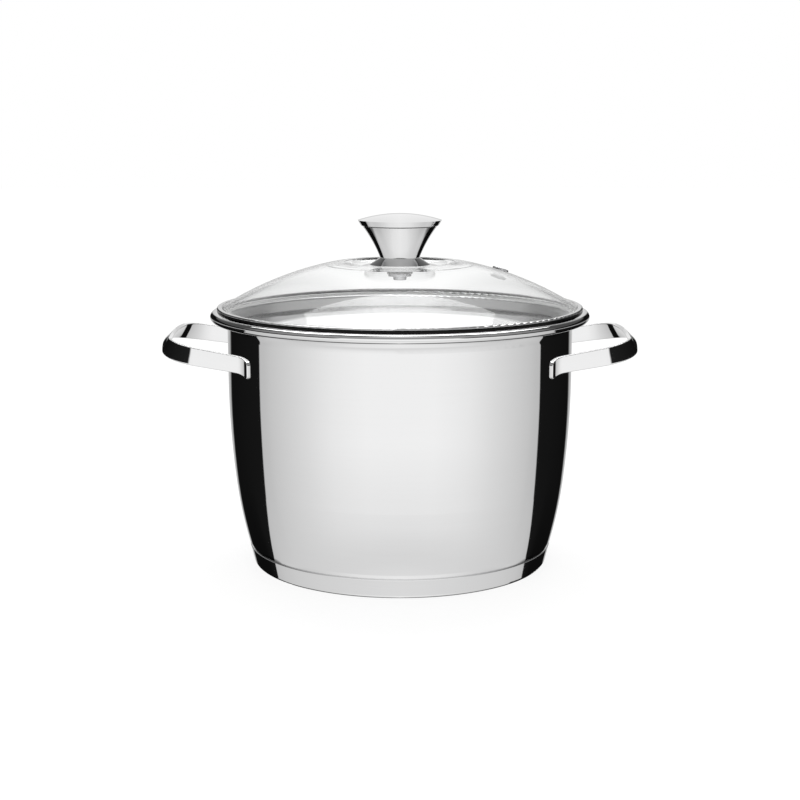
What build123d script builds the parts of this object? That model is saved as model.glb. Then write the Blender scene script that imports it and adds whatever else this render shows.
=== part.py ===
from build123d import *
from math import acos, asin, atan, cos, degrees, radians, sin, sqrt, tan
import os

# Water bath canner: a stainless stock pot with a glass lid and a low jar rack inside.
# Millimetres. The origin is the centre of the base's underside, +Z is up, the two loop
# handles stand out along X and +Y points to the back.

# Pot shell: one drawn sheet with a flared mouth and a rolled rim
wall_sheet = 1.0
wall_radius = 120.6
rim_height = 178.9
belly_top = 135.0
belly_radius = 640.0
lower_belly_top = 60.0
lower_belly_radius = 300.0
corner_top = 17.0
bead_radius = 3.1
bead_overhang = 11.9
flare_radius = 11.5
flare_angle = 45.0
curl_angle = 285.0

# Encapsulated base: an aluminium core under the shell, held by a steel cap
cap_sheet = 0.6
cap_height = 13.3
cap_foot_radius = 103.9
cap_edge_radius = 107.1
cap_corner = 3.0
core_thickness = 6.2
core_rim_height = 10.2
core_play = 0.2
core_corner_relief = 2.0

# Loop handles: a strap bent in plan, leaning outward at the grip
strap_thickness = 2.8
strap_edge_radius = 0.5
foot_play = 0.05
foot_end_angle = 35.0
foot_bend_angle = 33.6
foot_bend_radius = 9.0
arm_angle = -2.0
arm_length = 27.0
grip_corner_angle = 68.0
grip_reach = 41.4
foot_level = 146.4

# Lid band: a steel channel round the glass, with a skirt that centres it in the mouth
band_sheet = 0.5
band_top_corner = 1.0
band_seat_corner = 2.5
lid_play = 0.3
skirt_play = 1.3
skirt_corner = 1.2
skirt_depth = 8.0
seal_thickness = 0.4
glass_play = 0.1
band_lip_play = 0.3

# Lid glass: a dome with a dished centre that seats the knob
glass_thickness = 3.2
dome_radius = 236.0
dome_rise = 35.3
rim_fillet = 2.0
crest_offset = 38.8
crest_radius = 60.0
dish_depth = 5.5
dish_crest_fillet = 8.0
dish_floor_fillet = 5.0
glass_hole_radius = 4.0
glass_edge_play = 0.3
glass_edge_fillet = 1.4

# Steam vent: a rolled eyelet through the dome, with a washer under the glass
vent_distance = 76.0
vent_bearing = 19.0
vent_bore_radius = 2.9
vent_barrel_radius = 4.0
vent_flange_radius = 5.8
vent_flange_height = 1.3
vent_play = 0.15
vent_washer_radius = 6.0
vent_washer_thickness = 0.8
vent_roll_radius = 5.2
vent_roll_thickness = 0.8

# Knob: steel shells over a moulded core, screwed on from under the glass
knob_sheet = 0.7
knob_play = 0.2
gasket_thickness = 0.8
skirt_foot_radius = 26.8
skirt_foot_height = 1.9
skirt_shoulder_radius = 21.6
skirt_shoulder_height = 2.8
skirt_bend_radius = 1.0
waist_radius = 13.8
waist_height = 7.6
trumpet_middle_radius = 19.6
trumpet_middle_height = 19.7
trumpet_radius = 26.0
trumpet_height = 29.4
groove_height = 0.7
cap_lip_radius = 27.2
cap_crease_radius = 29.3
cap_crease_height = 33.7
knob_height = 38.3
screw_radius = 2.5
screw_play = 0.05
screw_reach = 17.0
screw_head_radius = 4.6
screw_head_height = 2.6
socket_radius = 1.7
socket_depth = 1.5
washer_radius = 8.0
washer_thickness = 1.0
lower_gasket_radius = 9.0
lower_gasket_thickness = 1.0
gasket_collar_height = 2.0

# Jar rack: a hoop and a deck of wires on two footed rails, with two fold-down bails
rack_play = 0.3
weld_play = 0.05
hoop_radius = 98.0
frame_wire_radius = 2.0
leg_tip_chamfer = 0.6
deck_wire_radius = 1.25
deck_wire_spacing = 14.0
deck_wire_count = 13
leg_height = 14.0
rail_offset = 50.0
rail_half_length = 72.0
rail_bend_radius = 6.0
lug_thickness = 2.5
lug_width = 8.0
lug_bay = 4
bail_wire_radius = 1.75
pin_play = 0.06
bail_rest_play = 0.3
bail_leg_offset = 40.0
bail_grip_offset = 6.0
bail_bend_radius = 6.0
pin_end_play = 3.0

# Worked out from the sizes above
floor_under = cap_sheet + core_thickness
floor_top = floor_under + wall_sheet
bead_centre = Vector(wall_radius + bead_overhang - bead_radius, rim_height - bead_radius)


def direction(angle):
    """Unit vector at an angle in degrees from the first axis of a plane."""
    return Vector(cos(radians(angle)), sin(radians(angle)))


def bend_sheet(start, heading, runs, sheet):
    """Draw both faces and the ends of a bent sheet. Its first face begins at start and follows
    runs, pairs of a length and 0 for a flat or of a radius and a turn for a bend. The sheet lies
    on the left of that face, or on the right where sheet is negative."""
    ends = []
    for depth in (0, sheet):
        point = Vector(*start) + direction(heading + 90) * depth
        ends.append(point)
        angle = heading
        for size, turn in runs:
            if turn:
                bend = size - depth if turn > 0 else size + depth
                edge = JernArc(point, direction(angle), bend, turn)
            else:
                edge = Line(point, point + direction(angle) * size)
            point = edge @ 1
            angle += turn
        ends.append(point)
    Line(ends[0], ends[2])
    Line(ends[1], ends[3])


# Pot shell
# The belly leans in below belly_top on two tangent arcs, then turns into the floor
belly_tilt = degrees(asin((belly_top - lower_belly_top) / belly_radius))
lower_belly_start = wall_radius - belly_radius * (1 - cos(radians(belly_tilt)))
lower_belly_centre = lower_belly_top + lower_belly_radius * sin(radians(belly_tilt))
corner_tilt = degrees(asin((lower_belly_centre - corner_top) / lower_belly_radius))
lower_belly_run = lower_belly_radius * (cos(radians(belly_tilt)) - cos(radians(corner_tilt)))
corner_radius = (corner_top - floor_under) / (1 - sin(radians(corner_tilt)))
floor_radius = lower_belly_start - lower_belly_run - corner_radius * cos(radians(corner_tilt))

# The mouth flares from the wall to the inner side of the rolled bead
curl_radius = bead_radius - wall_sheet
curl_start = bead_centre + direction(90 + flare_angle) * curl_radius
flare_end = wall_radius + flare_radius * (1 - cos(radians(flare_angle)))
flare_run = (curl_start.X - flare_end) / sin(radians(flare_angle))
flare_rise = flare_run * cos(radians(flare_angle)) + flare_radius * sin(radians(flare_angle))
flare_start = curl_start.Y - flare_rise

with BuildPart() as pot_body:
    with BuildSketch(Plane.XZ):
        with BuildLine():
            bend_sheet(
                (0, floor_under),
                0,
                [
                    (floor_radius, 0),
                    (corner_radius, 90 - corner_tilt),
                    (lower_belly_radius, corner_tilt - belly_tilt),
                    (belly_radius, belly_tilt),
                    (flare_start - belly_top, 0),
                    (flare_radius, -flare_angle),
                    (flare_run, 0),
                    (curl_radius, -curl_angle),
                ],
                wall_sheet,
            )
        make_face()
    revolve(axis=Axis.Z)
pot_body.part.label = "pot_body"

# Base cap: its side carries the wall's taper down to the base's rounded edge
cap_lean = (cap_edge_radius - cap_foot_radius) / cap_height
cap_tilt = degrees(atan(cap_lean))
cap_corner_run = cap_corner * tan(radians((90 - cap_tilt) / 2))

with BuildPart() as base_cap:
    with BuildSketch(Plane.XZ):
        with BuildLine():
            bend_sheet(
                (0, 0),
                0,
                [
                    (cap_foot_radius - cap_corner_run, 0),
                    (cap_corner, 90 - cap_tilt),
                    (cap_height / cos(radians(cap_tilt)) - cap_corner_run, 0),
                ],
                cap_sheet,
            )
        make_face()
    revolve(axis=Axis.Z)
base_cap.part.label = "base_cap"

# Base core: it fills the cap up to the shell, and its rim is pressed up round the shell's corner
core_side_shift = (cap_sheet + core_play) / cos(radians(cap_tilt))
core_foot_radius = cap_foot_radius + cap_lean * cap_sheet - core_side_shift
core_rim_radius = cap_foot_radius + cap_lean * core_rim_height - core_side_shift
core_corner_radius = corner_radius + core_corner_relief
core_ledge_drop = floor_under + core_corner_radius - core_rim_height
core_ledge_radius = floor_radius + sqrt(core_corner_radius**2 - core_ledge_drop**2)

with BuildPart() as base_core:
    with BuildSketch(Plane.XZ):
        with BuildLine():
            core_seat = Line((0, floor_under), (floor_radius, floor_under))
            core_ledge = Line((core_ledge_radius, core_rim_height), (core_rim_radius, core_rim_height))
            RadiusArc(core_seat @ 1, core_ledge @ 0, -core_corner_radius)
            Polyline(core_ledge @ 1, (core_foot_radius, cap_sheet), (0, cap_sheet), core_seat @ 0)
        make_face()
    revolve(axis=Axis.Z)
    fillet(base_core.edges().group_by(Axis.Z)[0], cap_corner)
base_core.part.label = "base_core"

# Loop handles
# Each station on the strap's centre line is a point in plan and a heading in degrees
foot_radius = wall_radius + foot_play + strap_thickness / 2
foot_stations = [(direction(-angle) * foot_radius, 90 - angle) for angle in (foot_end_angle, foot_bend_angle)]
bend_start, bend_heading = foot_stations[-1]
bend_centre = bend_start + direction(bend_heading - 90) * foot_bend_radius
bend_stations = []
for share in (0.5, 1.0):
    heading = bend_heading + (arm_angle - bend_heading) * share
    bend_stations.append((bend_centre + direction(heading + 90) * foot_bend_radius, heading))
arm_end = bend_stations[-1][0] + direction(arm_angle) * arm_length

# Two tangent arcs, a tight corner and a wide crown, bring the arm round to the grip's middle
grip_middle = wall_radius + grip_reach
corner_span = direction(arm_angle + 90) + direction(grip_corner_angle - 90)
crown_span = direction(grip_corner_angle + 90) + direction(0)
arc_spread = corner_span.X * crown_span.Y - crown_span.X * corner_span.Y
grip_run = Vector(grip_middle, 0) - arm_end
grip_corner_radius = (grip_run.X * crown_span.Y - crown_span.X * grip_run.Y) / arc_spread
grip_crown_radius = (corner_span.X * grip_run.Y - grip_run.X * corner_span.Y) / arc_spread
grip_corner_centre = arm_end + direction(arm_angle + 90) * grip_corner_radius
grip_stations = [(arm_end, arm_angle)]
for share in (1 / 3, 2 / 3, 1.0):
    heading = arm_angle + (grip_corner_angle - arm_angle) * share
    grip_stations.append((grip_corner_centre + direction(heading - 90) * grip_corner_radius, heading))
for heading in ((grip_corner_angle + 90) / 2, 90):
    crown_centre = Vector(grip_middle - grip_crown_radius, 0)
    grip_stations.append((crown_centre + direction(heading - 90) * grip_crown_radius, heading))

# How the strap stands at each station, from the foot to the grip's middle: the height of its
# centre above the foot's, its width, and its lean
strap_stance = [
    (0.0, 11.6, 0),
    (0.6, 11.5, 0),
    (2.6, 11.2, 0),
    (4.6, 11.0, 0),
    (8.1, 9.8, 5),
    (8.7, 9.9, 15),
    (9.1, 10.2, 25),
    (9.2, 10.5, 33),
    (9.1, 10.8, 37),
    (9.0, 11.0, 38),
]
front_half = list(zip(foot_stations + bend_stations + grip_stations, strap_stance))
back_half = [((Vector(point.X, -point.Y), 180 - heading), stance) for (point, heading), stance in front_half[-2::-1]]

with BuildPart() as handle_right:
    for (point, heading), (rise, width, lean) in front_half + back_half:
        outward = direction(heading - 90) * cos(radians(lean)) + Vector(0, 0, sin(radians(lean)))
        centre = point + Vector(0, 0, foot_level + rise)
        with BuildSketch(Plane(centre, x_dir=outward, z_dir=direction(heading))):
            RectangleRounded(strap_thickness, width, strap_edge_radius)
    loft()
    # The feet are dressed to the wall
    with BuildSketch():
        Circle(wall_radius + foot_play)
    extrude(amount=rim_height, mode=Mode.SUBTRACT)
handle_right.part.label = "handle_right"

with BuildPart() as handle_left:
    add(handle_right.part)
    mirror(about=Plane.YZ, mode=Mode.REPLACE)
handle_left.part.label = "handle_left"

# Lid band: its lower corner rests on the flare where the bead begins
seat_centre = bead_centre + direction(90 + flare_angle) * (bead_radius + lid_play + band_seat_corner)
band_radius = seat_centre.X + band_seat_corner
band_bottom = seat_centre.Y - band_seat_corner
band_top = band_bottom + seal_thickness + glass_thickness + 2 * (glass_play + band_sheet)
skirt_radius = wall_radius - wall_sheet - skirt_play

# The glass's outer face: dish floor, crest, dome and the flat edge held in the band
edge_top = band_top - band_sheet - glass_play
dome_centre = edge_top + dome_rise - dome_radius
crest_angle = degrees(asin(crest_offset / (dome_radius - crest_radius)))
crest_height = dome_centre + (dome_radius - crest_radius) * cos(radians(crest_angle)) + crest_radius
dish_angle = degrees(acos(1 - dish_depth / (dish_crest_fillet + dish_floor_fillet)))
dish_run = (dish_crest_fillet + dish_floor_fillet) * sin(radians(dish_angle))
dish_floor = crest_height - dish_depth
rim_angle = degrees(acos((edge_top + rim_fillet - dome_centre) / (dome_radius + rim_fillet)))
rim_fillet_radius = (dome_radius + rim_fillet) * sin(radians(rim_angle))
glass_radius = band_radius - band_sheet - glass_edge_play
band_lip_radius = sqrt(dome_radius**2 - (edge_top - dome_centre) ** 2) + band_lip_play

with BuildPart() as lid_band:
    with BuildSketch(Plane.XZ):
        with BuildLine():
            bend_sheet(
                (band_lip_radius, band_top),
                0,
                [
                    (band_radius - band_top_corner - band_lip_radius, 0),
                    (band_top_corner, -90),
                    (band_top - band_top_corner - seat_centre.Y, 0),
                    (band_seat_corner, -90),
                    (seat_centre.X - skirt_radius - skirt_corner, 0),
                    (skirt_corner, 90),
                    (skirt_depth - skirt_corner, 0),
                ],
                -band_sheet,
            )
        make_face()
    revolve(axis=Axis.Z)
lid_band.part.label = "lid_band"

with BuildPart() as band_seal:
    with BuildSketch(Plane.XY.offset(band_bottom + band_sheet)):
        Circle(seat_centre.X)
        Circle(skirt_radius + skirt_corner, mode=Mode.SUBTRACT)
    extrude(amount=seal_thickness)
band_seal.part.label = "band_seal"

# Steam vent, square to the dome
vent_tilt = asin(vent_distance / dome_radius)
vent_axis = direction(vent_bearing) * sin(vent_tilt) + Vector(0, 0, cos(vent_tilt))
vent_across = direction(vent_bearing + 90)
vent_centre = Vector(0, 0, dome_centre) + vent_axis * dome_radius
vent_seat = Plane(vent_centre, x_dir=vent_across, z_dir=vent_axis)
vent_section = Plane(vent_centre, x_dir=vent_across, z_dir=vent_across.cross(vent_axis))
vent_washer_under = -glass_thickness - 2 * vent_play - vent_washer_thickness
vent_roll_top = vent_washer_under - vent_play

with BuildPart() as lid_glass:
    with BuildSketch(Plane.XZ) as glass_profile:
        with BuildLine():
            bend_sheet(
                (glass_hole_radius, dish_floor),
                0,
                [
                    (crest_offset - dish_run - glass_hole_radius, 0),
                    (dish_floor_fillet, dish_angle),
                    (dish_crest_fillet, -dish_angle),
                    (crest_radius, -crest_angle),
                    (dome_radius, crest_angle - rim_angle),
                    (rim_fillet, rim_angle),
                    (glass_radius - rim_fillet_radius, 0),
                ],
                -glass_thickness,
            )
        make_face()
        fillet(glass_profile.vertices().group_by(Axis.X)[-1], glass_edge_fillet)
    revolve(axis=Axis.Z)
    with BuildSketch(vent_seat):
        Circle(vent_barrel_radius + vent_play)
    extrude(amount=2 * glass_thickness, both=True, mode=Mode.SUBTRACT)
lid_glass.part.label = "lid_glass"

with BuildPart() as vent_eyelet:
    with BuildSketch(vent_section) as vent_profile:
        with BuildLine():
            Polyline(
                (vent_bore_radius, vent_flange_height),
                (vent_flange_radius, vent_flange_height),
                (vent_flange_radius, vent_play),
                (vent_barrel_radius, vent_play),
                (vent_barrel_radius, vent_roll_top),
                (vent_roll_radius, vent_roll_top),
                (vent_roll_radius, vent_roll_top - vent_roll_thickness),
                (vent_bore_radius, vent_roll_top - vent_roll_thickness),
                close=True,
            )
        make_face()
        fillet(vent_profile.vertices().group_by(Axis.Y)[-1], vent_flange_height / 2)
    revolve(axis=Axis(vent_centre, vent_axis))
vent_eyelet.part.label = "vent_eyelet"

with BuildPart() as vent_washer:
    with BuildSketch(vent_seat.offset(vent_washer_under)):
        Circle(vent_washer_radius)
        Circle(vent_barrel_radius + vent_play, mode=Mode.SUBTRACT)
    extrude(amount=vent_washer_thickness)
vent_washer.part.label = "vent_washer"

# Knob: its heights count from the top of the gasket that it stands on
knob_seat = dish_floor + gasket_thickness
waist_level = knob_seat + waist_height
trumpet_top = knob_seat + trumpet_height
lip_level = trumpet_top + groove_height
crown_level = knob_seat + knob_height
core_depth = knob_sheet + knob_play

with BuildPart() as knob_gasket:
    with BuildSketch(Plane.XY.offset(dish_floor)):
        Circle(skirt_foot_radius)
        Circle(glass_hole_radius, mode=Mode.SUBTRACT)
    extrude(amount=gasket_thickness)
knob_gasket.part.label = "knob_gasket"

# The whole knob's section, let down below its seat so that the faces offset from it reach there
with BuildSketch(Plane.XZ) as knob_section:
    with BuildLine():
        foot = FilletPolyline(
            (skirt_foot_radius, knob_seat - core_depth),
            (skirt_foot_radius, knob_seat + skirt_foot_height),
            (skirt_shoulder_radius, knob_seat + skirt_shoulder_height),
            (waist_radius, waist_level),
            radius=skirt_bend_radius,
        )
        middle = (trumpet_middle_radius, knob_seat + trumpet_middle_height)
        trumpet = ThreePointArc(foot @ 1, middle, (trumpet_radius, trumpet_top))
        crease = (cap_crease_radius, knob_seat + cap_crease_height)
        lip = Polyline(trumpet @ 1, (trumpet_radius, lip_level), (cap_lip_radius, lip_level), crease)
        Line((0, knob_seat - core_depth), foot @ 0)
        mirror(about=Plane.YZ)
        ThreePointArc(lip @ 1, (0, crown_level), (-cap_crease_radius, crease[1]))
    make_face()


def knob_face(inner, outer, bottom, top):
    """Add the part of the knob's section between two depths under its surface and two levels."""
    add(knob_section.sketch_local)
    if outer:
        offset(amount=-outer)
    if inner:
        hollow = offset(knob_section.sketch_local, amount=-inner, mode=Mode.PRIVATE)
        add(hollow, mode=Mode.SUBTRACT)
    with Locations((0, bottom)):
        Rectangle(2 * cap_crease_radius, top - bottom, align=(Align.MIN, Align.MIN), mode=Mode.INTERSECT)


with BuildPart() as knob_skirt:
    with BuildSketch(Plane.XZ):
        knob_face(knob_sheet, 0, knob_seat, waist_level)
    revolve(axis=Axis.Z)
knob_skirt.part.label = "knob_skirt"

with BuildPart() as knob_body:
    with BuildSketch(Plane.XZ):
        knob_face(knob_sheet, 0, waist_level + knob_play, trumpet_top)
    revolve(axis=Axis.Z)
knob_body.part.label = "knob_body"

with BuildPart() as knob_cap:
    with BuildSketch(Plane.XZ):
        knob_face(knob_sheet, 0, lip_level, crown_level)
    revolve(axis=Axis.Z)
knob_cap.part.label = "knob_cap"

with BuildPart() as knob_core:
    with BuildSketch(Plane.XZ):
        knob_face(0, core_depth, knob_seat, crown_level)
    revolve(axis=Axis.Z)
    with BuildSketch(Plane.XY.offset(knob_seat)):
        Circle(screw_radius + screw_play)
    extrude(amount=screw_reach + screw_play, mode=Mode.SUBTRACT)
knob_core.part.label = "knob_core"

# Fastening under the dish: gasket with a collar in the glass's hole, washer and screw
dish_under = dish_floor - glass_thickness
washer_top = dish_under - lower_gasket_thickness
screw_seat = washer_top - washer_thickness

with BuildPart() as lower_gasket:
    with BuildSketch(Plane.XY.offset(washer_top)):
        Circle(lower_gasket_radius)
    extrude(amount=lower_gasket_thickness)
    with BuildSketch(Plane.XY.offset(dish_under)):
        Circle(glass_hole_radius - glass_play)
    extrude(amount=gasket_collar_height)
    with BuildSketch(Plane.XY.offset(washer_top)):
        Circle(screw_radius + screw_play)
    extrude(amount=lower_gasket_thickness + gasket_collar_height, mode=Mode.SUBTRACT)
lower_gasket.part.label = "lower_gasket"

with BuildPart() as lower_washer:
    with BuildSketch(Plane.XY.offset(screw_seat)):
        Circle(washer_radius)
        Circle(screw_radius + screw_play, mode=Mode.SUBTRACT)
    extrude(amount=washer_thickness)
lower_washer.part.label = "lower_washer"

with BuildPart() as knob_screw:
    with BuildSketch(Plane.XY.offset(screw_seat - screw_head_height)):
        Circle(screw_head_radius)
    extrude(amount=screw_head_height)
    fillet(knob_screw.edges().group_by(Axis.Z)[0], screw_head_height / 3)
    with BuildSketch(Plane.XY.offset(screw_seat)):
        Circle(screw_radius)
    extrude(amount=knob_seat + screw_reach - screw_seat)
    with BuildSketch(Plane.XY.offset(screw_seat - screw_head_height)):
        RegularPolygon(socket_radius, 6)
    extrude(amount=socket_depth, mode=Mode.SUBTRACT)
knob_screw.part.label = "knob_screw"

# Jar rack
# The hoop and the rails lie level, and the deck wires are welded across them
leg_foot = floor_top + rack_play
frame_level = leg_foot + leg_height
deck_level = frame_level + frame_wire_radius + weld_play + deck_wire_radius

with BuildPart() as rack_hoop:
    with BuildSketch(Plane.XZ):
        with Locations((hoop_radius, frame_level)):
            Circle(frame_wire_radius)
    revolve(axis=Axis.Z)
rack_hoop.part.label = "rack_hoop"

with BuildPart() as rack_deck:
    for index in range(deck_wire_count):
        wire_x = (index - (deck_wire_count - 1) / 2) * deck_wire_spacing
        half_length = sqrt((hoop_radius + frame_wire_radius) ** 2 - wire_x**2)
        with BuildSketch(Plane.XZ.offset(-half_length)):
            with Locations((wire_x, deck_level)):
                Circle(deck_wire_radius)
        extrude(amount=2 * half_length)
rack_deck.part.label = "rack_deck"

with BuildPart() as rack_rails:
    for rail_y in (-rail_offset, rail_offset):
        with BuildLine(Plane.XZ.offset(-rail_y)) as rail_path:
            FilletPolyline(
                (-rail_half_length, leg_foot),
                (-rail_half_length, frame_level),
                (rail_half_length, frame_level),
                (rail_half_length, leg_foot),
                radius=rail_bend_radius,
            )
        with BuildSketch(Plane.XY.offset(leg_foot)):
            with Locations((-rail_half_length, rail_y)):
                Circle(frame_wire_radius)
        sweep(path=rail_path.line)
    chamfer(rack_rails.edges().group_by(Axis.Z)[0], leg_tip_chamfer)
rack_rails.part.label = "rack_rails"

# Hinge lugs stand on the rails between two deck wires, and the bails' ends turn in them
pivot_x = lug_bay * deck_wire_spacing + deck_wire_spacing / 2
pivot_level = deck_level + deck_wire_radius + bail_rest_play + bail_wire_radius

with BuildPart() as rack_lugs:
    for lug_x in (-pivot_x, pivot_x):
        for lug_y in (-rail_offset, rail_offset):
            with BuildSketch(Plane.XZ.offset(-lug_y - lug_thickness / 2)):
                with Locations((lug_x, pivot_level)):
                    Circle(lug_width / 2)
                    Rectangle(lug_width, pivot_level - frame_level, align=(Align.CENTER, Align.MAX))
                    Circle(bail_wire_radius + pin_play, mode=Mode.SUBTRACT)
            extrude(amount=lug_thickness)
    # Each foot is notched to sit on its rail
    for lug_y in (-rail_offset, rail_offset):
        with BuildSketch(Plane.YZ.offset(-pivot_x - lug_width)):
            with Locations((lug_y, frame_level)):
                Circle(frame_wire_radius + weld_play)
        extrude(amount=2 * (pivot_x + lug_width), mode=Mode.SUBTRACT)
rack_lugs.part.label = "rack_lugs"

pin_reach = rail_offset + lug_thickness / 2 + pin_end_play

with BuildPart() as bail_right:
    with BuildLine(Plane.XY.offset(pivot_level)) as bail_path:
        FilletPolyline(
            (pivot_x, -pin_reach),
            (pivot_x, -bail_leg_offset),
            (bail_grip_offset, -bail_leg_offset),
            (bail_grip_offset, bail_leg_offset),
            (pivot_x, bail_leg_offset),
            (pivot_x, pin_reach),
            radius=bail_bend_radius,
        )
    with BuildSketch(Plane.XZ.offset(pin_reach)):
        with Locations((pivot_x, pivot_level)):
            Circle(bail_wire_radius)
    sweep(path=bail_path.line)
bail_right.part.label = "bail_right"

with BuildPart() as bail_left:
    add(bail_right.part)
    mirror(about=Plane.YZ, mode=Mode.REPLACE)
bail_left.part.label = "bail_left"

pieces = [
    pot_body,
    base_cap,
    base_core,
    handle_right,
    handle_left,
    lid_band,
    band_seal,
    lid_glass,
    vent_eyelet,
    vent_washer,
    knob_gasket,
    knob_skirt,
    knob_body,
    knob_cap,
    knob_core,
    lower_gasket,
    lower_washer,
    knob_screw,
    rack_hoop,
    rack_deck,
    rack_rails,
    rack_lugs,
    bail_right,
    bail_left,
]
os.makedirs("parts", exist_ok=True)
for piece in pieces:
    export_step(piece.part, f"parts/{piece.part.label}.step")
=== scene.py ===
import math

import bpy
import numpy as np
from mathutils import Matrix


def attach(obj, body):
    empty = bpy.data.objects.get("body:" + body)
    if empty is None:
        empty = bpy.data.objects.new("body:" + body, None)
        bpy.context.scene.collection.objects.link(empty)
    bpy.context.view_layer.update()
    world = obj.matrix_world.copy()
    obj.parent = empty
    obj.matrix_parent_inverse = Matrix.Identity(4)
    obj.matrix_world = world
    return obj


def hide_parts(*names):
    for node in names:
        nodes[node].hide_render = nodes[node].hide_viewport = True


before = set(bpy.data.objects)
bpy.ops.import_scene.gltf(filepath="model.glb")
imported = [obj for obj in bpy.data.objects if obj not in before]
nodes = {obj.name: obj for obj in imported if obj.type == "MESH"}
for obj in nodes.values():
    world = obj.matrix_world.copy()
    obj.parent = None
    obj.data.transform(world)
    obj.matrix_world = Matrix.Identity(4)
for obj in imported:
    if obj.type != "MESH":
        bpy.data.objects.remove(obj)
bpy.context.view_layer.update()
print("frame loaded:", len(nodes), "nodes")


class Wire:
    # One output socket. Each operator adds a Math node behind it and gives that node's output.
    def __init__(self, bench, socket):
        self.bench = bench
        self.socket = socket

    def math(self, operation, *others):
        return self.bench.math(operation, self, *others)

    def __add__(self, other):
        return self.math("ADD", other)

    def __radd__(self, other):
        return self.bench.math("ADD", other, self)

    def __sub__(self, other):
        return self.math("SUBTRACT", other)

    def __rsub__(self, other):
        return self.bench.math("SUBTRACT", other, self)

    def __mul__(self, other):
        return self.math("MULTIPLY", other)

    def __rmul__(self, other):
        return self.bench.math("MULTIPLY", other, self)

    def __truediv__(self, other):
        return self.math("DIVIDE", other)

    def __rtruediv__(self, other):
        return self.bench.math("DIVIDE", other, self)

    def __gt__(self, other):
        return self.math("GREATER_THAN", other)

    def __lt__(self, other):
        return self.math("LESS_THAN", other)


class Bench:
    # The node tree of one material or of the world.
    def __init__(self, owner):
        owner.use_nodes = True
        self.owner = owner
        self.tree = owner.node_tree
        self.tree.nodes.clear()

    def add(self, kind, settings=None, inputs=None):
        node = self.tree.nodes.new("ShaderNode" + kind)
        for name, value in (settings or {}).items():
            if name == "stops":
                self.setStops(node.color_ramp, value)
            else:
                setattr(node, name, value)
        for name, value in (inputs or {}).items():
            self.plug(value, node.inputs[name])
        return node

    def plug(self, value, socket):
        if isinstance(value, Wire):
            self.tree.links.new(value.socket, socket)
        elif isinstance(value, bpy.types.NodeSocket):
            self.tree.links.new(value, socket)
        else:
            socket.default_value = value

    def setStops(self, ramp, stops):
        # stops are (place, grey) from left to right
        while len(ramp.elements) > 1:
            ramp.elements.remove(ramp.elements[-1])
        for number, (place, shade) in enumerate(stops):
            spot = ramp.elements[0] if number == 0 else ramp.elements.new(place)
            spot.position = place
            spot.color = grey(shade)

    def wire(self, node, output=0):
        return Wire(self, node.outputs[output])

    def math(self, operation, *values):
        node = self.add("Math", {"operation": operation}, dict(enumerate(values)))
        return self.wire(node)

    def ramp(self, value, stops):
        node = self.add("ValToRGB", {"stops": stops}, {"Fac": value})
        return self.wire(node, "Color")

    def mix(self, factor, first, second, kind="MIX"):
        # the colour sockets of a Mix node are numbers 6 and 7, and its colour output is number 2
        node = self.add("Mix", {"data_type": "RGBA", "blend_type": kind}, {0: factor, 6: first, 7: second})
        return self.wire(node, 2)

    def shaded(self, colour, shade):
        return self.mix(1.0, (*colour, 1), self.join(shade, shade, shade), "MULTIPLY")

    def noise(self, vector, scale, detail=2.0, roughness=0.5, along=None):
        settings = {"noise_dimensions": "3D" if along is None else "4D"}
        inputs = {"Vector": vector, "Scale": scale, "Detail": detail, "Roughness": roughness}
        if along is not None:
            inputs["W"] = along
        return self.wire(self.add("TexNoise", settings, inputs), 0)

    def place(self):
        # object coordinates, and the three numbers of them
        coords = self.add("TexCoord").outputs["Object"]
        split = self.add("SeparateXYZ", None, {"Vector": coords})
        return coords, self.wire(split, 0), self.wire(split, 1), self.wire(split, 2)

    def join(self, x, y, z):
        return self.wire(self.add("CombineXYZ", None, {0: x, 1: y, 2: z}))

    def bump(self, height, strength, distance):
        node = self.add("Bump", None, {"Height": height, "Strength": strength, "Distance": distance})
        return self.wire(node)

    def surface(self, shader):
        out = self.add("OutputMaterial")
        self.tree.links.new(shader, out.inputs["Surface"])
        return self.owner

    def principled(self, inputs):
        return self.surface(self.add("BsdfPrincipled", None, inputs).outputs["BSDF"])


def grey(value):
    return (value, value, value, 1)


def spunVector(bench, x, y, z, lines, wander):
    # lines that run round the axis: fast across height and radius, slow along the turn
    radius = (x * x + y * y).math("SQRT")
    vector = bench.join(x / (radius + 1e-5) * wander, y / (radius + 1e-5) * wander, z * lines)
    return vector, radius * lines, radius


polish = {
    "colour": (0.862, 0.862, 0.864),
    "roughness": 0.03,
    "lines": 620.0,           # buffing lines in each metre of height or radius, roughly
    "wander": 2.0,            # how fast the lines change along the turn
    "cloudScale": 9.0,
    "variation": 0.02,        # of colour and of roughness
    "bumpStrength": 0.018,
    "bumpDepth": 0.0004,
    "wallRadius": 0.1206,     # the pot's outer wall, from which the satin inside is told apart
    "bellyTop": 0.135,
    "bellyRadius": 0.64,
    "lowerTop": 0.060,
    "lowerRadius": 0.30,
    "floorHeight": 0.0075,
    "halfSheet": 0.0005,
    "insideRoughness": 0.2,
    "insideColour": (0.70, 0.70, 0.705),
}


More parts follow.
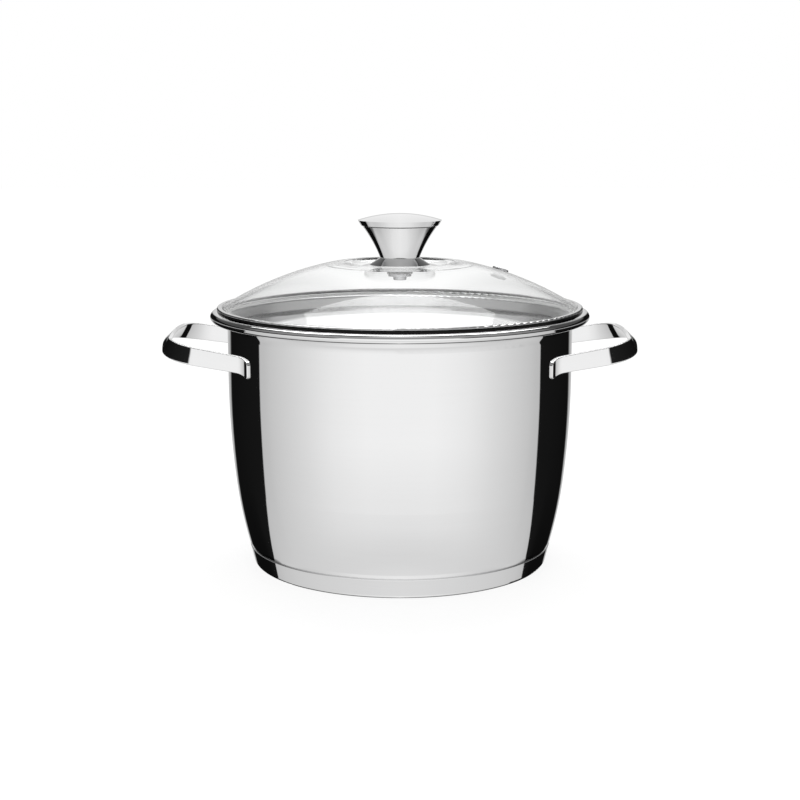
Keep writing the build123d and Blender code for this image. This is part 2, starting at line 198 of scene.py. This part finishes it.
def mirrorSteel(name, settings, satinInside=False, extra=0.0):
    # drawn and buffed stainless: fine lines round the axis and a faint cloudiness in the gloss
    bench = Bench(bpy.data.materials.new(name))
    coords, x, y, z = bench.place()
    cloud = bench.noise(coords, settings["cloudScale"], 3.0)
    vector, along, radius = spunVector(bench, x, y, z, settings["lines"], settings["wander"])
    lines = bench.noise(vector, 1.0, 3.0, 0.6, along)
    variation = (cloud - 0.5) * settings["variation"] + (lines - 0.5) * settings["variation"]
    colour = bench.shaded(settings["colour"], variation + 1.0)
    roughness = variation + (settings["roughness"] + extra)
    if satinInside:
        # the wall leans in below the belly's top; half a sheet nearer the axis than that line is inside
        bellyDrop = settings["bellyTop"] - settings["lowerTop"]
        belly = (settings["bellyTop"] - z).math("MAXIMUM", 0.0).math("MINIMUM", bellyDrop)
        lower = (settings["lowerTop"] - z).math("MAXIMUM", 0.0)
        outer = settings["wallRadius"] - belly * belly / (2 * settings["bellyRadius"])
        outer = outer - lower * (bellyDrop / settings["bellyRadius"])
        outer = outer - lower * lower / (2 * settings["lowerRadius"])
        inner = (radius < outer - settings["halfSheet"]) * (z > settings["floorHeight"])
        dull = bench.shaded(settings["insideColour"], (lines - 0.5) * 0.10 + (cloud - 0.5) * 0.05 + 1.0)
        colour = bench.mix(inner, colour, dull)
        roughness = roughness + inner * (lines * 0.1 + (settings["insideRoughness"] - settings["roughness"]))
    roughness = roughness.math("MAXIMUM", 0.012)
    return bench.principled({
        "Base Color": colour,
        "Metallic": 1.0,
        "Roughness": roughness,
        "Normal": bench.bump(lines, settings["bumpStrength"], settings["bumpDepth"]),
    })


band = {
    "gapLow": 0.1787,         # the painted dark line of shade runs between these heights, outside this radius
    "gapHigh": 0.1812,
    "shadeLineRadius": 0.1272,
    "paintedShadeColour": 0.012,
    "shadeLineRoughness": 0.2,      # added to the polish
    "skirtRadius": 0.1195,    # the skirt inside the mouth lies within this radius
    "skirtRoughness": 0.25,
    "skirtShade": 0.3,
    "variation": 0.03,
}


def bandSteel(name, settings, bandSettings):
    # the lid's rolled band: bright, with a painted dark line of shade where it turns in above the pot's rim
    bench = Bench(bpy.data.materials.new(name))
    x, y, z = bench.place()[1:]
    vector, along, radius = spunVector(bench, x, y, z, settings["lines"], settings["wander"])
    lines = bench.noise(vector, 1.0, 3.0, 0.6, along)
    # painted shade: a near-black ring in the colour, where the band's outer wall stands in the rim's shade
    paintedShadeLine = (z > bandSettings["gapLow"]) * (z < bandSettings["gapHigh"]) * (radius > bandSettings["shadeLineRadius"])
    skirt = radius < bandSettings["skirtRadius"]
    shade = (lines - 0.5) * bandSettings["variation"] + 1.0 - skirt * bandSettings["skirtShade"]
    bright = bench.shaded(settings["colour"], shade)
    roughness = settings["roughness"] + (lines - 0.5) * settings["variation"]
    return bench.principled({
        "Base Color": bench.mix(paintedShadeLine, bright, grey(bandSettings["paintedShadeColour"])),
        "Metallic": 1.0,
        "Roughness": roughness + paintedShadeLine * bandSettings["shadeLineRoughness"] + skirt * bandSettings["skirtRoughness"],
        "Normal": bench.bump(lines, settings["bumpStrength"], settings["bumpDepth"]),
    })


strap = {
    "lines": (40.0, 1500.0),  # grinding lines in each metre along and across, roughly
    "cloudScale": 12.0,
    "bumpStrength": 0.02,
    "bumpDepth": 0.0003,
}


def strapSteel(name, settings, finish):
    # the loops: polished flat strap, with its grinding lines along its length
    bench = Bench(bpy.data.materials.new(name))
    laid = bench.add("UVMap", {"uv_map": "strap"}).outputs["UV"]
    split = bench.add("SeparateXYZ", None, {"Vector": laid})
    along, across = bench.wire(split, 0), bench.wire(split, 1)
    lineAlong, lineAcross = finish["lines"]
    lines = bench.noise(bench.join(along * lineAlong, across * lineAcross, 0.0), 1.0, 3.0, 0.6)
    cloudScale = finish["cloudScale"]
    cloud = bench.noise(bench.join(along * cloudScale, across * cloudScale, 0.0), 1.0, 2.0)
    colour = bench.shaded(settings["colour"], (lines - 0.5) * 0.04 + (cloud - 0.5) * 0.02 + 1.0)
    return bench.principled({
        "Base Color": colour,
        "Metallic": 1.0,
        "Roughness": settings["roughness"] + (cloud - 0.5) * 0.02 + (lines - 0.5) * 0.03,
        "Normal": bench.bump(lines, finish["bumpStrength"], finish["bumpDepth"]),
    })


satin = {
    "colour": (0.66, 0.66, 0.67),
    "roughness": 0.27,
    "grain": (90.0, 90.0, 1400.0),
    "cloudScale": 30.0,
    "bumpStrength": 0.08,
    "bumpDepth": 0.0003,
}


def satinSteel(name, settings):
    # drawn wire and turned parts: short scratches across a soft sheen
    bench = Bench(bpy.data.materials.new(name))
    coords, x, y, z = bench.place()
    grain = settings["grain"]
    scratch = bench.noise(bench.join(x * grain[0], y * grain[1], z * grain[2]), 1.0, 4.0, 0.65)
    cloud = bench.noise(coords, settings["cloudScale"], 3.0)
    colour = bench.shaded(settings["colour"], (cloud - 0.5) * 0.14 + (scratch - 0.5) * 0.12 + 1.0)
    return bench.principled({
        "Base Color": colour,
        "Metallic": 1.0,
        "Roughness": settings["roughness"] + (scratch - 0.5) * 0.16 + (cloud - 0.5) * 0.08,
        "Normal": bench.bump(scratch, settings["bumpStrength"], settings["bumpDepth"]),
    })


turned = {
    "colour": (0.862, 0.862, 0.864),
    "roughness": 0.075,
    "lines": 2600.0,
    "wander": 1.2,
    "cloudScale": 40.0,
    "bumpStrength": 0.03,
    "bumpDepth": 0.0002,
}


def turnedSteel(name, settings):
    # the knob: spun on a lathe and polished, so its fine lines run round it
    bench = Bench(bpy.data.materials.new(name))
    coords, x, y, z = bench.place()
    vector, along, _ = spunVector(bench, x, y, z, settings["lines"], settings["wander"])
    lines = bench.noise(vector, 1.0, 3.0, 0.6, along)
    cloud = bench.noise(coords, settings["cloudScale"], 2.0)
    colour = bench.shaded(settings["colour"], (lines - 0.5) * 0.05 + (cloud - 0.5) * 0.02 + 1.0)
    return bench.principled({
        "Base Color": colour,
        "Metallic": 1.0,
        "Roughness": settings["roughness"] + (lines - 0.5) * 0.05,
        "Normal": bench.bump(lines, settings["bumpStrength"], settings["bumpDepth"]),
    })


glass = {
    "hazeScale": 45.0,
    "tints": ((0.984, 0.990, 0.988, 1), (0.992, 0.997, 0.995, 1)),
    "roughness": 0.002,
    "hazeRoughness": 0.006,
    "bending": 1.51,
    "nearest": 0.012,         # mirror rays from farther than this pass straight through
}


def clearGlass(name, settings):
    # tempered glass: clear, with the barest trace of green and of haze
    bench = Bench(bpy.data.materials.new(name))
    coords = bench.place()[0]
    haze = bench.noise(coords, settings["hazeScale"], 4.0, 0.6)
    pane = bench.add("BsdfPrincipled", None, {
        "Base Color": bench.mix(haze, *settings["tints"]),
        "Metallic": 0.0,
        "Roughness": settings["roughness"] + haze * settings["hazeRoughness"],
        "IOR": settings["bending"],
        "Transmission Weight": 1.0,
        "Normal": bench.bump(haze, 0.004, 0.0005),
    })
    # the knob's mirror rays pass straight through, so that it shows the studio and not the lid
    path = bench.add("LightPath")
    passing = bench.wire(path, "Is Glossy Ray") * (bench.wire(path, "Ray Length") > settings["nearest"])
    clear = bench.add("BsdfTransparent")
    both = bench.add("MixShader", None, {0: passing, 1: pane.outputs[0], 2: clear.outputs[0]})
    return bench.surface(both.outputs[0])


silicone = {
    "grainScale": 900.0,
    "cloudScale": 60.0,
    "tints": ((0.82, 0.82, 0.81, 1), (0.90, 0.90, 0.89, 1)),
    "roughness": 0.46,
}


def siliconeRubber(name, settings):
    # milky silicone with fine mould grain
    bench = Bench(bpy.data.materials.new(name))
    coords = bench.place()[0]
    grain = bench.noise(coords, settings["grainScale"], 3.0)
    cloud = bench.noise(coords, settings["cloudScale"], 2.0)
    return bench.principled({
        "Base Color": bench.mix(cloud, *settings["tints"]),
        "Roughness": settings["roughness"] + (grain - 0.5) * 0.2,
        "Subsurface Weight": 0.2,
        "Subsurface Radius": (0.002, 0.002, 0.002),
        "Normal": bench.bump(grain, 0.12, 0.0002),
    })


aluminium = {
    "grain": (30.0, 900.0, 900.0),
    "tints": ((0.64, 0.65, 0.66, 1), (0.76, 0.77, 0.78, 1)),
    "roughness": 0.32,
}


def rolledAluminium(name, settings):
    # plain rolled plate, with the mill's straight grain
    bench = Bench(bpy.data.materials.new(name))
    x, y, z = bench.place()[1:]
    grainX, grainY, grainZ = settings["grain"]
    grain = bench.noise(bench.join(x * grainX, y * grainY, z * grainZ), 1.0, 3.0)
    return bench.principled({
        "Base Color": bench.mix(grain, *settings["tints"]),
        "Metallic": 1.0,
        "Roughness": settings["roughness"] + (grain - 0.5) * 0.16,
        "Normal": bench.bump(grain, 0.1, 0.0002),
    })


phenolic = {
    "mottleScale": 260.0,
    "grainScale": 1500.0,
    "tints": ((0.018, 0.018, 0.019, 1), (0.045, 0.044, 0.044, 1)),
    "roughness": 0.42,
}


def blackPhenolic(name, settings):
    # hard moulded phenolic: nearly black, mottled, with a fine moulding grain
    bench = Bench(bpy.data.materials.new(name))
    coords = bench.place()[0]
    mottle = bench.noise(coords, settings["mottleScale"], 4.0)
    grain = bench.noise(coords, settings["grainScale"], 2.0)
    return bench.principled({
        "Base Color": bench.mix(mottle, *settings["tints"]),
        "Roughness": settings["roughness"] + (mottle - 0.5) * 0.2,
        "Normal": bench.bump(grain, 0.1, 0.0002),
    })


finishes = {
    "pot_body": mirrorSteel("potSteel", polish, satinInside=True),
    "base_cap": mirrorSteel("baseSteel", polish, extra=0.015),
    "handle": strapSteel("handleSteel", polish, strap),
    "lid_band": bandSteel("bandSteel", polish, band),
    "knob_cap": mirrorSteel("capSteel", polish, extra=0.01),
    "knob_body": turnedSteel("knobSteel", turned),
    "base_core": rolledAluminium("coreAluminium", aluminium),
    "lid_glass": clearGlass("domeGlass", glass),
    "band_seal": siliconeRubber("sealSilicone", silicone),
    "knob_core": blackPhenolic("corePhenolic", phenolic),
    "lower_washer": satinSteel("screwSteel", satin),
    "rack_hoop": satinSteel("rackSteel", satin),
}
shared = {
    "vent_eyelet": "lower_washer",
    "vent_washer": "band_seal",
    "knob_gasket": "band_seal",
    "lower_gasket": "band_seal",
    "knob_skirt": "knob_cap",
    "knob_screw": "lower_washer",
    "rack_deck": "rack_hoop",
    "rack_rails": "rack_hoop",
    "rack_lugs": "rack_hoop",
    "bail_right": "rack_hoop",
    "bail_left": "rack_hoop",
    "handle_right": "lower_washer",
    "handle_left": "lower_washer",
}
# these are left out of mirror reflections, so that each polished face shows the plain studio
unmirrored = (
    "pot_body", "base_cap", "base_core", "lid_band", "band_seal",
    "knob_body", "knob_skirt", "knob_core", "knob_gasket", "knob_screw", "lower_gasket", "lower_washer",
    "rack_hoop", "rack_deck", "rack_rails", "rack_lugs", "bail_right", "bail_left",
)
for name, node in nodes.items():
    node.material_slots[0].material = finishes[shared.get(name, name)]
    node.visible_glossy = name not in unmirrored
print("finishes laid on", len(nodes), "nodes")


loop = {
    "thickness": 0.0028,
    "edge": 0.0005,           # radius of the strap's long edges
    "wall": 0.12065,          # the feet lie against this radius
    "play": 0.00005,          # between the feet and the wall's outside
    "footSpread": 0.070,
    "footLength": 0.003,
    "footCorner": 0.0026,
    "footBend": 0.009,
    "armAngle": 9.8,
    "armLength": 0.0304,
    "cornerAngle": 84.0,
    "reach": 0.040,           # from the wall's outside to the grip's middle line
    "level": 0.146,           # height of the foot's middle line
    # the strap from foot to grip at each of the ten marks: height above the foot, width, lean in degrees
    "rise": (0.0, 1.2, 2.7, 3.7, 8.2, 10.2, 11.9, 13.1, 14.9, 15.6),
    "width": (11.9, 11.9, 11.6, 11.4, 12.0, 12.3, 11.7, 10.7, 10.0, 10.0),
    "lean": (0, 0, 0, 1, 4, 9, 17, 27, 41, 46),
    "ease": 0.0022,           # how far the marks are blended into each other along the strap
    "samples": 260,
    "endRows": 12,
    "edgeShare": 0.98,        # keeps a sliver of flat where the foot's end is thinnest
}


def compass(angle):
    angle = np.radians(angle)
    return np.stack([np.cos(angle), np.sin(angle)], -1)


def loopPath(settings, count):
    # half the strap's middle line in plan, from the foot's end to the grip's middle: an arc on the wall,
    # a bend, a straight arm, a tight corner and a wide crown, each tangent to the next.
    # A run is (length, bend per metre).
    footRadius = settings["wall"] + settings["thickness"] / 2
    endAngle = math.degrees(math.asin(settings["footSpread"] / footRadius))
    bendAngle = endAngle - math.degrees(settings["footLength"] / footRadius)
    runs = [(settings["footLength"], 1 / footRadius)]
    turn = (90 - bendAngle) - settings["armAngle"]
    runs.append((settings["footBend"] * math.radians(turn), -1 / settings["footBend"]))
    runs.append((settings["armLength"], 0.0))
    start = compass(-bendAngle) * footRadius
    centre = start + compass(-bendAngle) * settings["footBend"]
    armStart = centre + compass(settings["armAngle"] + 90) * settings["footBend"]
    armEnd = armStart + compass(settings["armAngle"]) * settings["armLength"]
    middle = np.array([settings["wall"] - settings["play"] + settings["reach"], 0.0])
    cornerSpan = compass(settings["armAngle"] + 90) + compass(settings["cornerAngle"] - 90)
    crownSpan = compass(settings["cornerAngle"] + 90) + compass(0)
    cornerRadius, crownRadius = np.linalg.solve(np.stack([cornerSpan, crownSpan], 1), middle - armEnd)
    cornerTurn = math.radians(settings["cornerAngle"] - settings["armAngle"])
    crownTurn = math.radians(90 - settings["cornerAngle"])
    runs.append((cornerRadius * cornerTurn, 1 / cornerRadius))
    runs.append((crownRadius * crownTurn, 1 / crownRadius))
    ends = np.cumsum([0.0] + [run[0] for run in runs])
    marks = [0.0, ends[1], (ends[1] + ends[2]) / 2, ends[2], ends[3]]
    marks += list(ends[3] + (ends[4] - ends[3]) * np.array([1 / 3, 2 / 3, 1.0]))
    marks += [(ends[4] + ends[5]) / 2, ends[5]]
    # fine steps along the line, then heading and place as running sums of bend and direction
    fine = np.linspace(0, ends[5], 20 * count)
    bends = np.array([run[1] for run in runs])[np.clip(np.searchsorted(ends, fine, "right") - 1, 0, 4)]
    step = fine[1] - fine[0]
    turned = np.cumsum((bends[1:] + bends[:-1]) / 2) * step
    heading = np.radians(90 - endAngle) + np.concatenate([[0.0], turned])
    way = np.stack([np.cos(heading), np.sin(heading)], -1)
    walked = np.cumsum((way[1:] + way[:-1]) / 2, axis=0) * step
    place = compass(-endAngle) * footRadius + np.concatenate([[[0.0, 0.0]], walked])
    place += (middle - place[-1]) * (fine / ends[5])[:, None] ** 2
    return fine, place, heading, np.array(marks)


def eased(fine, marks, values, ease):
    # values at the marks, joined by straight runs and then blurred by a bell curve, with the far end mirrored
    line = np.interp(fine, marks, values)
    step = fine[1] - fine[0]
    reach = int(3 * ease / step)
    bell = np.exp(-0.5 * (np.arange(-reach, reach + 1) * step / ease) ** 2)
    padded = np.concatenate([np.full(reach, line[0]), line, line[-2:-reach - 2:-1]])
    return np.convolve(padded, bell / bell.sum(), "valid")


def roundedStrap(halfThick, halfWide, edge):
    # one turn round a rounded rectangle for every row: a quarter circle about each corner's centre, then
    # four points on the flat. halfThick and halfWide are columns, one value for each row of the loop.
    quarter = np.linspace(0, math.pi / 2, 5)
    share = np.array([0.04, 0.35, 0.65, 0.96])
    across, up = [], []
    for number, (signA, signB) in enumerate([(1, 1), (-1, 1), (-1, -1), (1, -1)]):
        angle = quarter + number * math.pi / 2
        across.append(signA * (halfThick - edge) + edge * np.cos(angle))
        up.append(signB * (halfWide - edge) + edge * np.sin(angle))
        nextA, nextB = [(-1, 1), (-1, -1), (1, -1), (1, 1)][number]
        fromA, fromB = across[-1][:, -1:], up[-1][:, -1:]
        angleTo = (number + 1) * math.pi / 2
        toA = nextA * (halfThick - edge) + edge * math.cos(angleTo)
        toB = nextB * (halfWide - edge) + edge * math.sin(angleTo)
        across.append(fromA + (toA - fromA) * share)
        up.append(fromB + (toB - fromB) * share)
    return np.concatenate(across, 1), np.concatenate(up, 1)


def loopHandle(name, settings, side):
    # the strap's rounded rectangle carried along the whole loop, leaning outward towards the grip's middle
    fine, place, heading, marks = loopPath(settings, settings["samples"])
    rise = eased(fine, marks, np.array(settings["rise"]) / 1000, settings["ease"])
    width = eased(fine, marks, np.array(settings["width"]) / 1000, settings["ease"])
    lean = np.radians(eased(fine, marks, np.array(settings["lean"], float), settings["ease"]))
    # rows crowd towards the foot's rounded end
    total = fine[-1]
    even = np.linspace(0, 1, settings["samples"])
    footCorner, edge = settings["footCorner"], settings["edge"]
    endRows = footCorner * (1 - np.cos(np.linspace(0, math.pi / 2, settings["endRows"], endpoint=False)))
    rows = np.concatenate([endRows, footCorner + (total - footCorner) * even])
    place = np.stack([np.interp(rows, fine, column) for column in place.T], -1)
    heading, rise, width, lean = (np.interp(rows, fine, values) for values in (heading, rise, width, lean))
    # the foot's end loses a quarter circle in width, by its corner, and in thickness, by the edge
    corner = np.clip(footCorner - rows, 0, None)
    width = width - 2 * (footCorner - np.sqrt(footCorner ** 2 - corner ** 2))
    tip = np.clip(edge - rows, 0, None)
    thick = settings["thickness"] - 2 * (edge - np.sqrt(edge ** 2 - tip ** 2))
    across, up = roundedStrap(thick[:, None] / 2, width[:, None] / 2, edge * settings["edgeShare"])
    # the far half is the near half mirrored across the loop's middle
    outward = np.stack([np.sin(heading) * np.cos(lean), -np.cos(heading) * np.cos(lean), np.sin(lean)], -1)
    upward = np.stack([-np.sin(heading) * np.sin(lean), np.cos(heading) * np.sin(lean), np.cos(lean)], -1)
    centre = np.concatenate([place, (settings["level"] + rise)[:, None]], 1)
    points = centre[:, None] + across[..., None] * outward[:, None] + up[..., None] * upward[:, None]
    flip = np.array([1, -1, 1])
    points = np.concatenate([points, (points * flip)[-2::-1]])
    length = np.concatenate([rows, 2 * total - rows[-2::-1]])
    points = points * np.array([side, 1, 1])
    count, ring = points.shape[:2]
    index = np.arange(count * ring).reshape(count, ring)
    first, second = index[:-1], index[1:]
    quads = np.stack([first, np.roll(first, -1, 1), np.roll(second, -1, 1), second], -1)
    quads = quads.reshape(-1, 4)[:, ::side]
    caps = [index[0][::-side].tolist(), index[-1][::side].tolist()]
    mesh = bpy.data.meshes.new(name)
    mesh.from_pydata(points.reshape(-1, 3).tolist(), [], quads.tolist() + caps)
    mesh.update()
    middleRing = points[count // 2]
    girth = np.cumsum(np.linalg.norm(np.diff(middleRing, axis=0, append=middleRing[:1]), axis=1))
    layer = mesh.uv_layers.new(name="strap")
    corners = np.empty(len(mesh.loops), np.int32)
    mesh.loops.foreach_get("vertex_index", corners)
    layer.data.foreach_set("uv", np.stack([length[corners // ring], girth[corners % ring]], -1).ravel())
    mesh.polygons.foreach_set("use_smooth", np.ones(len(mesh.polygons), bool))
    piece = bpy.data.objects.new(name, mesh)
    bpy.context.scene.collection.objects.link(piece)
    piece.data.materials.append(finishes["handle"])
    piece.visible_glossy = False
    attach(piece, "pot")
    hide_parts("handle_left" if side < 0 else "handle_right")


studio = {
    "floorHalf": 6.0,
    "floorWhite": 0.8,        # what the camera sees of the floor without any light on it
    "floorGrey": 0.28,        # the paint, which holds the object's shadow
    "plain": 0.8,             # the world's level for soft light
    "softbox": {"size": (0.95, 0.62), "place": (0.0, 0.42, 1.25), "power": 5.5, "aimHeight": 0.15},
    # levels round the studio as (degrees from the front, level), at a few heights
    "eyeLevels": [(0, 1.0), (22, 1.0), (35, 0.964), (45, 0.927), (55, 0.865), (65, 0.797), (75, 0.74),
                  (85, 0.685), (94, 0.633), (100, 0.583), (106, 0.56), (150, 0.36), (158, 0.45), (164, 0.54),
                  (174, 0.67), (180, 0.70)],
    "lowLevels": [(0, 0.772), (25, 0.772), (45, 0.76), (65, 0.732), (85, 0.70), (110, 0.685), (122, 0.62),
                  (129, 0.12), (136, 0.03), (156, 0.03), (164, 0.6), (180, 0.66)],
    "floorLevels": [(0, 0.936), (45, 0.88), (85, 0.706), (95, 0.65), (112, 0.50), (118, 0.40), (124, 0.30),
                    (130, 0.12), (136, 0.03), (160, 0.03), (172, 0.4), (180, 0.5)],
    "highLevels": [(0, 0.34), (60, 0.30), (100, 0.22), (112, 0.07), (150, 0.07), (166, 0.2), (171, 0.85),
                   (180, 0.95)],
    "zenithLevels": [(0, 1.0), (28, 1.0), (50, 0.05), (150, 0.05), (180, 0.34)],
    "fromLow": (0.68, 0.80),      # downward part of the direction, where one level passes into the next
    "fromHigh": (0.14, 0.20),     # and the upward part
    "fromZenith": (0.86, 0.90),
    "dark": 0.985,                # how much of the light the flags and the belt take
    "flag": {"near": 104.9, "nearBend": 250.0, "nearSoft": 0.5, "far": 151.0, "farLean": 45.0,
             "farSoft": (2.0, 3.0), "straight": 0.1, "top": (0.09, 0.10), "foot": (0.565, 0.60)},
    "belt": {"from": (34.0, 39.0), "to": (166.0, 169.0), "floor": 0.008, "rise": (140.0, 166.0, 0.10),
             "soft": 0.012, "top": (0.22, 0.27)},
    "card": {"edge": (0.903, 0.909), "tilt": (0.7954, 0.606), "back": 0.2, "low": 0.6, "half": 0.46,
             "level": 4.5},
    "fallToLow": [(0.29, 0.0), (0.342, 0.14), (0.469, 0.44), (0.53, 0.62), (0.588, 0.85), (0.643, 1.0)],
}


def buildWorld(settings):
    # a white studio for mirror rays: brightest in front, greyer to the sides, with black flags
    world = bpy.data.worlds.new("studio")
    bpy.context.scene.world = world
    bench = Bench(world)
    direction = bench.add("TexCoord").outputs["Generated"]
    split = bench.add("SeparateXYZ", None, {"Vector": direction})
    x, y, z = (bench.wire(split, number) for number in range(3))
    flat = (x * x + y * y).math("SQRT") + 1e-6
    turn = (y / flat * -1.0).math("ARCCOSINE") * (180.0 / math.pi)    # degrees from the front
    low = z * -1.0

    def around(name):
        return bench.ramp(turn / 180.0, [(place / 180.0, level) for place, level in settings[name]])

    def step(value, start, end):
        # 0 before start, 1 after end
        return ((value - start) / (end - start)).math("MAXIMUM", 0.0).math("MINIMUM", 1.0)

    def blend(share, first, second):
        return first * (1.0 - share) + second * share

    level = blend(bench.ramp(low, settings["fallToLow"]), around("eyeLevels"), around("lowLevels"))
    level = blend(step(low, *settings["fromLow"]), level, around("floorLevels"))
    # tall black flags, whose near edge leans away lower down
    flag = settings["flag"]
    drop = (low - flag["straight"]).math("MAXIMUM", 0.0)
    near = drop * drop * drop * flag["nearBend"] + flag["near"]
    far = drop * flag["farLean"] + flag["far"]
    shade = step(turn, near - flag["nearSoft"], near + flag["nearSoft"])
    shade = shade * (1.0 - step(turn, far - flag["farSoft"][0], far + flag["farSoft"][1]))
    shade = shade * step(low, *flag["top"]) * (1.0 - step(low, *flag["foot"]))
    level = level * (1.0 - shade * settings["dark"])
    level = blend(step(z, *settings["fromHigh"]), level, around("highLevels"))
    level = blend(step(z, *settings["fromZenith"]), level, around("zenithLevels"))
    # a dark belt at eye height, whose lower edge hangs down farther behind
    belt = settings["belt"]
    riseFrom, riseTo, riseBy = belt["rise"]
    beltFloor = belt["floor"] + step(turn, riseFrom, riseTo) * riseBy
    shade = step(turn, *belt["from"]) * (1.0 - step(turn, *belt["to"])) * (1.0 - step(z, *belt["top"]))
    shade = shade * step(z, beltFloor * -1.0, belt["soft"] - beltFloor)
    level = level * (1.0 - shade * settings["dark"])
    # the overhead card behind, bounded by a cone about the back of the studio
    card = settings["card"]
    cone = y * card["tilt"][0] + z * card["tilt"][1]
    shine = (1.0 - step(cone, *card["edge"])) * (y > card["back"]) * (z > card["low"])
    shine = shine * (x.math("ABSOLUTE") < card["half"])
    level = blend(shine, level, card["level"])
    path = bench.add("LightPath")
    glossy = bench.wire(path, "Is Glossy Ray")
    bare = bench.wire(path, "Is Camera Ray") + bench.wire(path, "Is Transmission Ray")
    bare = bare.math("MINIMUM", 1.0)
    level = bare + (1.0 - bare) * (glossy * level + (1.0 - glossy) * settings["plain"])
    sky = bench.add("Background", None, {"Color": grey(1.0), "Strength": level})
    out = bench.add("OutputWorld")
    bench.tree.links.new(sky.outputs[0], out.inputs["Surface"])


def buildFloor(settings):
    half = settings["floorHalf"]
    mesh = bpy.data.meshes.new("floor")
    corners = [(-half, -half, 0), (half, -half, 0), (half, half, 0), (-half, half, 0)]
    mesh.from_pydata(corners, [], [(0, 1, 2, 3)])
    floor = bpy.data.objects.new("floor", mesh)
    bpy.context.scene.collection.objects.link(floor)
    bench = Bench(bpy.data.materials.new("floorWhite"))
    path = bench.add("LightPath")
    seen = bench.wire(path, "Is Camera Ray") + bench.wire(path, "Is Transmission Ray")
    seen = seen.math("MINIMUM", 1.0)
    matt = bench.add("BsdfDiffuse", None, {"Color": grey(settings["floorGrey"])})
    glow = bench.add("Emission", None, {"Color": grey(1.0), "Strength": seen * settings["floorWhite"]})
    both = bench.add("AddShader", None, {0: matt.outputs[0], 1: glow.outputs[0]})
    mesh.materials.append(bench.surface(both.outputs[0]))
    floor.visible_glossy = False


def buildSoftbox(settings):
    lamp = bpy.data.lights.new("softbox", "AREA")
    lamp.shape = "RECTANGLE"
    lamp.size, lamp.size_y = settings["size"]
    lamp.energy = settings["power"]
    holder = bpy.data.objects.new("softbox", lamp)
    bpy.context.scene.collection.objects.link(holder)
    place = np.array(settings["place"])
    holder.location = place
    holder.rotation_euler = (-math.atan2(place[1], place[2] - settings["aimHeight"]), 0.0, 0.0)
    holder.visible_glossy = False


stand = {"lens": 70.16, "sensor": 36.0, "place": (0.0001, -1.0893, 0.3109), "tilt": 79.77}


def buildCamera(settings):
    view = bpy.data.cameras.new("camera")
    view.lens = settings["lens"]
    view.sensor_width = settings["sensor"]
    camera = bpy.data.objects.new("camera", view)
    bpy.context.scene.collection.objects.link(camera)
    camera.location = settings["place"]
    camera.rotation_euler = (math.radians(settings["tilt"]), 0.0, 0.0)
    bpy.context.scene.camera = camera


for name, side in (("loopRight", 1), ("loopLeft", -1)):
    loopHandle(name, loop, side)
print("handles built")

buildWorld(studio)
buildFloor(studio)
buildSoftbox(studio["softbox"])
buildCamera(stand)
bpy.context.scene.view_settings.view_transform = "Standard"
print("studio built")
